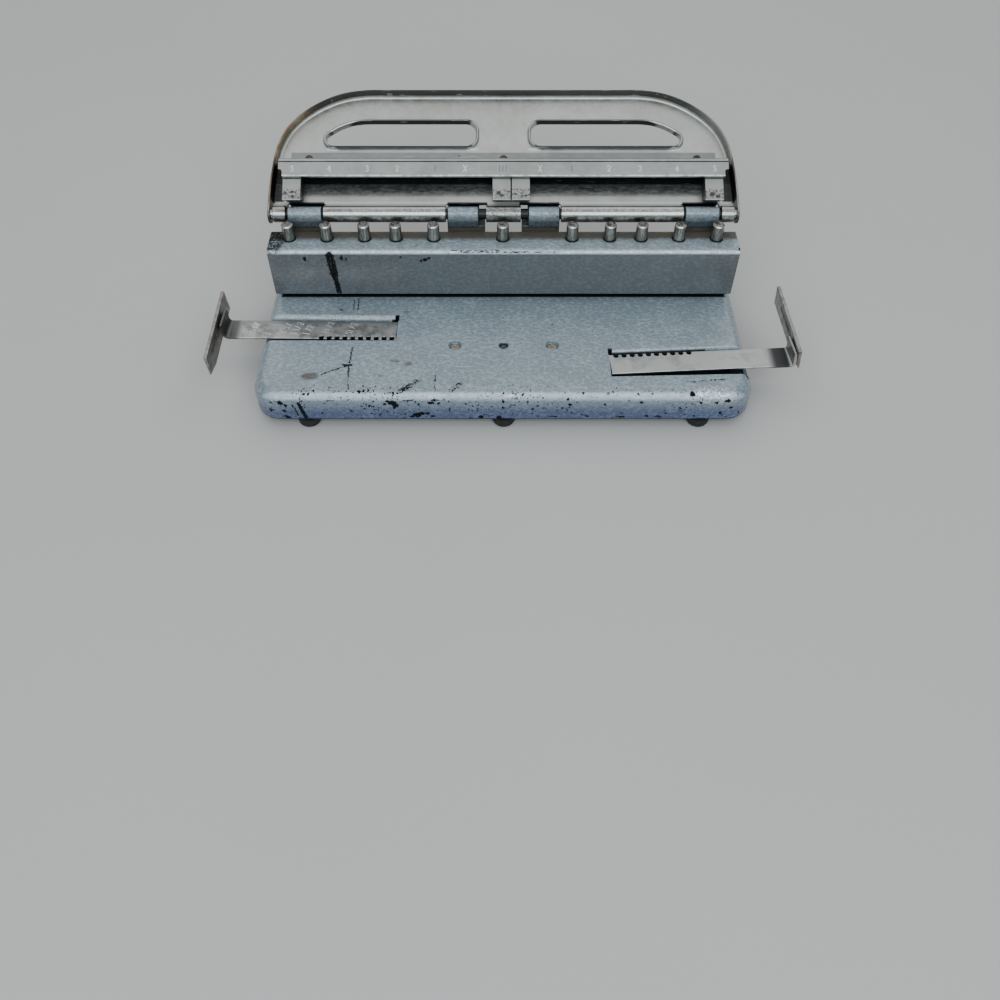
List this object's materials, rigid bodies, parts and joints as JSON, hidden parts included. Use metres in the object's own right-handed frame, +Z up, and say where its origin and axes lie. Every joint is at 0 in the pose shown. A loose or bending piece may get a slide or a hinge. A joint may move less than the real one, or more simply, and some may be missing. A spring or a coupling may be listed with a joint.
{
  "type": "adjustable multi-hole paper punch",
  "caption": "Desk paper punch: enamelled base with sliding margin gauges, a hood of sprung punch pins and a broad hinged lever with movable pressers.",
  "frame": {"origin": "centre of the bounding box's bottom, on the plane the feet stand on", "axes": "+X along the row of pins to the user's right, +Y away from the user, +Z up"},
  "size_m": [0.2901, 0.1537, 0.0939],
  "materials": {
    "enamel": "satin blue-grey hammered enamel, chipped to dark metal on the edges",
    "nickel_handle": "satin nickel plate, aged",
    "nickel_strip": "satin nickel plate with stamped marks",
    "nickel_block": "worn nickel plate",
    "tool_steel": "ground steel, tarnished",
    "spring_steel": "oiled spring steel",
    "dark_steel": "black japanned steel",
    "rubber": "matte"
  },
  "bodies": {
    "frame": {"base": "enamel", "hood": "enamel", "die_plate": "tool_steel", "guide_plate": "tool_steel", "bottom_cover": "dark_steel", "hinge_rod": "tool_steel", "foot_front_left": "rubber", "foot_front_centre": "rubber", "foot_front_right": "rubber", "foot_rear_left": "rubber", "foot_rear_centre": "rubber", "foot_rear_right": "rubber", "hood_screw_1": "dark_steel", "hood_screw_2": "dark_steel", "hood_screw_3": "dark_steel", "hood_screw_4": "dark_steel", "cover_stud_left": "nickel_block", "cover_stud_right": "nickel_block", "cover_screw_left": "dark_steel", "cover_screw_right": "dark_steel", "gauge_leaf_left": "spring_steel", "gauge_leaf_right": "spring_steel", "pin_spring_01": "spring_steel", "pin_spring_02": "spring_steel", "pin_spring_03": "spring_steel", "pin_spring_04": "spring_steel", "pin_spring_05": "spring_steel", "pin_spring_06": "spring_steel", "pin_spring_07": "spring_steel", "pin_spring_08": "spring_steel", "pin_spring_09": "spring_steel", "pin_spring_10": "spring_steel", "pin_spring_11": "spring_steel"},
    "handle": {"handle": "nickel_handle", "scale_bar": "nickel_strip", "scale_rivet_left": "tool_steel", "scale_rivet_centre": "tool_steel", "scale_rivet_right": "tool_steel"},
    "pin_01": {"punch_pin_01": "tool_steel"},
    "pin_02": {"punch_pin_02": "tool_steel"},
    "pin_03": {"punch_pin_03": "tool_steel"},
    "pin_04": {"punch_pin_04": "tool_steel"},
    "pin_05": {"punch_pin_05": "tool_steel"},
    "pin_06": {"punch_pin_06": "tool_steel"},
    "pin_07": {"punch_pin_07": "tool_steel"},
    "pin_08": {"punch_pin_08": "tool_steel"},
    "pin_09": {"punch_pin_09": "tool_steel"},
    "pin_10": {"punch_pin_10": "tool_steel"},
    "pin_11": {"punch_pin_11": "tool_steel"},
    "presser_outer_left": {"presser_outer_left": "nickel_block"},
    "presser_inner_left": {"presser_inner_left": "nickel_block"},
    "presser_inner_right": {"presser_inner_right": "nickel_block"},
    "presser_outer_right": {"presser_outer_right": "nickel_block"},
    "gauge_left": {"gauge_strip_left": "nickel_strip", "gauge_stop_left": "nickel_block"},
    "gauge_right": {"gauge_strip_right": "nickel_strip", "gauge_stop_right": "nickel_block"}
  },
  "joints": [
    {"name": "handle_hinge", "type": "hinge", "parent": "frame", "child": "handle", "pos_m": [0, 0.0173, 0.0582], "axis": [1, 0, 0], "range_deg": [0, 148]},
    {"name": "pin_slide_01", "type": "slide", "parent": "frame", "child": "pin_01", "axis": [0, 0, -1], "range_m": [0, 0.0064], "stiffness_N_per_m": 800, "springref_m": -0.004, "deforming": ["pin_spring_01"]},
    {"name": "pin_slide_02", "type": "slide", "parent": "frame", "child": "pin_02", "axis": [0, 0, -1], "range_m": [0, 0.0064], "stiffness_N_per_m": 800, "springref_m": -0.004, "deforming": ["pin_spring_02"]},
    {"name": "pin_slide_03", "type": "slide", "parent": "frame", "child": "pin_03", "axis": [0, 0, -1], "range_m": [0, 0.0064], "stiffness_N_per_m": 800, "springref_m": -0.004, "deforming": ["pin_spring_03"]},
    {"name": "pin_slide_04", "type": "slide", "parent": "frame", "child": "pin_04", "axis": [0, 0, -1], "range_m": [0, 0.0064], "stiffness_N_per_m": 800, "springref_m": -0.004, "deforming": ["pin_spring_04"]},
    {"name": "pin_slide_05", "type": "slide", "parent": "frame", "child": "pin_05", "axis": [0, 0, -1], "range_m": [0, 0.0064], "stiffness_N_per_m": 800, "springref_m": -0.004, "deforming": ["pin_spring_05"]},
    {"name": "pin_slide_06", "type": "slide", "parent": "frame", "child": "pin_06", "axis": [0, 0, -1], "range_m": [0, 0.0064], "stiffness_N_per_m": 800, "springref_m": -0.004, "deforming": ["pin_spring_06"]},
    {"name": "pin_slide_07", "type": "slide", "parent": "frame", "child": "pin_07", "axis": [0, 0, -1], "range_m": [0, 0.0064], "stiffness_N_per_m": 800, "springref_m": -0.004, "deforming": ["pin_spring_07"]},
    {"name": "pin_slide_08", "type": "slide", "parent": "frame", "child": "pin_08", "axis": [0, 0, -1], "range_m": [0, 0.0064], "stiffness_N_per_m": 800, "springref_m": -0.004, "deforming": ["pin_spring_08"]},
    {"name": "pin_slide_09", "type": "slide", "parent": "frame", "child": "pin_09", "axis": [0, 0, -1], "range_m": [0, 0.0064], "stiffness_N_per_m": 800, "springref_m": -0.004, "deforming": ["pin_spring_09"]},
    {"name": "pin_slide_10", "type": "slide", "parent": "frame", "child": "pin_10", "axis": [0, 0, -1], "range_m": [0, 0.0064], "stiffness_N_per_m": 800, "springref_m": -0.004, "deforming": ["pin_spring_10"]},
    {"name": "pin_slide_11", "type": "slide", "parent": "frame", "child": "pin_11", "axis": [0, 0, -1], "range_m": [0, 0.0064], "stiffness_N_per_m": 800, "springref_m": -0.004, "deforming": ["pin_spring_11"]},
    {"name": "presser_outer_left_slide", "type": "slide", "parent": "handle", "child": "presser_outer_left", "axis": [1, 0, 0], "range_m": [0, 0.03685]},
    {"name": "presser_inner_left_slide", "type": "slide", "parent": "handle", "child": "presser_inner_left", "axis": [1, 0, 0], "range_m": [-0.05303, 0]},
    {"name": "presser_inner_right_slide", "type": "slide", "parent": "handle", "child": "presser_inner_right", "axis": [1, 0, 0], "range_m": [0, 0.04523]},
    {"name": "presser_outer_right_slide", "type": "slide", "parent": "handle", "child": "presser_outer_right", "axis": [1, 0, 0], "range_m": [-0.03635, 0]},
    {"name": "gauge_left_slide", "type": "slide", "parent": "frame", "child": "gauge_left", "axis": [-0.9998, 0.0175, 0], "range_m": [0, 0.035]},
    {"name": "gauge_right_slide", "type": "slide", "parent": "frame", "child": "gauge_right", "axis": [0.9979, 0.0645, 0], "range_m": [0, 0.035]}
  ],
  "couplings": [
    {"joint": "pin_slide_01", "follows": "handle_hinge", "m_per_rad": 0.0024774},
    {"joint": "pin_slide_06", "follows": "handle_hinge", "m_per_rad": 0.0024774},
    {"joint": "pin_slide_11", "follows": "handle_hinge", "m_per_rad": 0.0024774}
  ]
}
